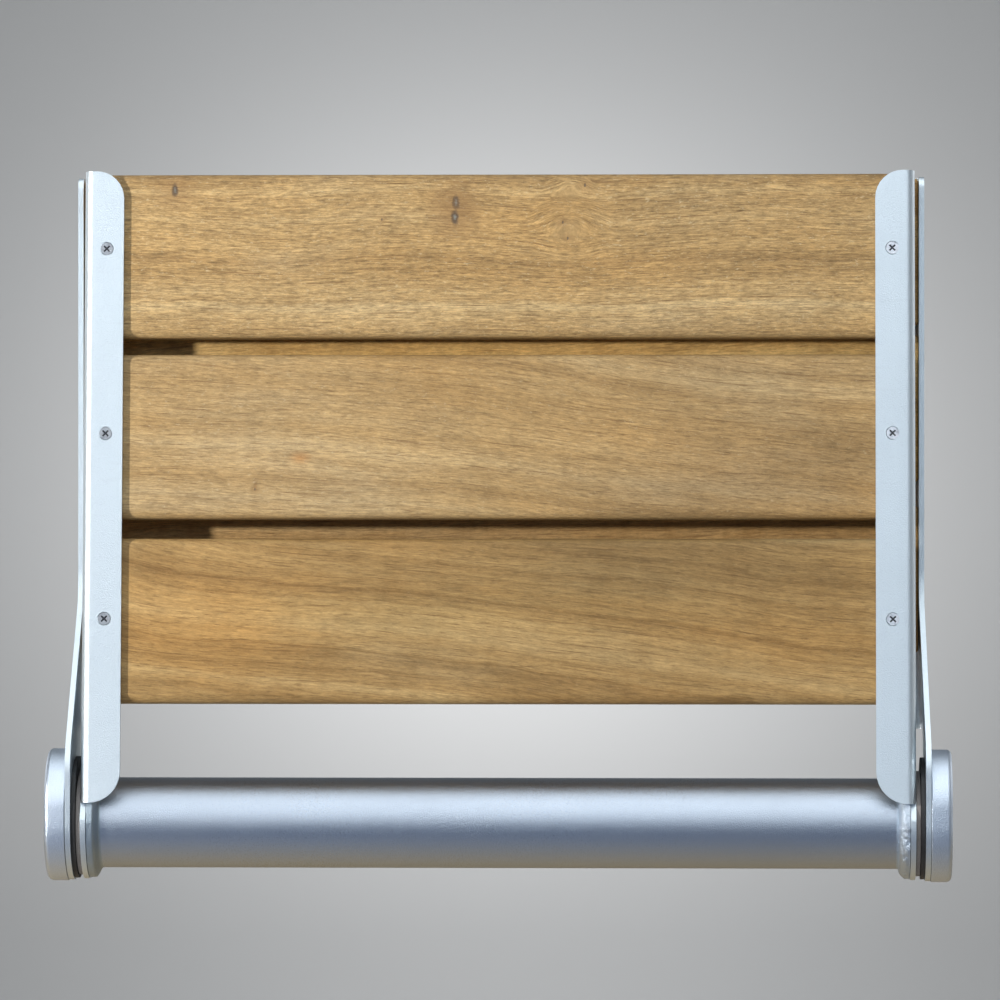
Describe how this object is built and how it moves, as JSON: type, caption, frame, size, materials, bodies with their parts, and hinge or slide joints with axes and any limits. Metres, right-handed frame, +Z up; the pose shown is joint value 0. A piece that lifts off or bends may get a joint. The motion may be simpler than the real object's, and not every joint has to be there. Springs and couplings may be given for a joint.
{
  "type": "folding shower seat",
  "caption": "Wall-mounted folding shower seat: a slatted wooden seat on metal arms swings down from a slatted wall frame about a horizontal hinge tube.",
  "frame": {"origin": "on the wall plane, midway between the arms, at the height of the hinge axis", "axes": "+X along the hinge tube to the right of a person facing the wall, +Y into the wall, +Z up; at rest the seat is folded up"},
  "size_m": [0.5093, 0.0747, 0.4001],
  "materials": {
    "teak": "oiled teak boards with open grain",
    "anodised_aluminium": "fine satin anodised",
    "cap_aluminium": "fine satin anodised",
    "stainless_steel": "bright stainless steel",
    "black_nylon": "matt black plastic",
    "grey_nylon": "matt grey-brown plastic"
  },
  "bodies": {
    "wall_frame": {"wall_arm_left": "anodised_aluminium", "wall_arm_right": "anodised_aluminium", "back_slat_top": "teak", "back_slat_middle": "teak", "back_slat_bottom": "teak", "back_screw_left_1": "stainless_steel", "back_screw_left_2": "stainless_steel", "back_screw_left_3": "stainless_steel", "back_screw_right_1": "stainless_steel", "back_screw_right_2": "stainless_steel", "back_screw_right_3": "stainless_steel", "end_cap_left": "cap_aluminium", "end_cap_right": "cap_aluminium", "pivot_bush_left": "black_nylon", "pivot_bush_right": "black_nylon", "wear_plate_left": "black_nylon", "wear_plate_right": "black_nylon", "spacer_ring_left": "grey_nylon", "spacer_ring_right": "grey_nylon", "stop_pin_left": "stainless_steel", "stop_pin_right": "stainless_steel"},
    "seat": {"hinge_tube": "anodised_aluminium", "seat_arm_left": "anodised_aluminium", "seat_arm_right": "anodised_aluminium", "seat_slat_top": "teak", "seat_slat_middle": "teak", "seat_slat_bottom": "teak", "seat_screw_left_1": "stainless_steel", "seat_screw_left_2": "stainless_steel", "seat_screw_left_3": "stainless_steel", "seat_screw_right_1": "stainless_steel", "seat_screw_right_2": "stainless_steel", "seat_screw_right_3": "stainless_steel", "weld_collar_left": "anodised_aluminium", "weld_collar_right": "anodised_aluminium", "tube_plug_left": "anodised_aluminium", "tube_plug_right": "anodised_aluminium", "pivot_bolt_left": "stainless_steel", "pivot_bolt_right": "stainless_steel", "thrust_washer_left": "stainless_steel", "thrust_washer_right": "stainless_steel"}
  },
  "joints": [
    {"name": "seat_fold", "type": "hinge", "parent": "wall_frame", "child": "seat", "pos_m": [0, -0.042, 0], "axis": [1, 0, 0], "range_deg": [0, 94.5]}
  ]
}
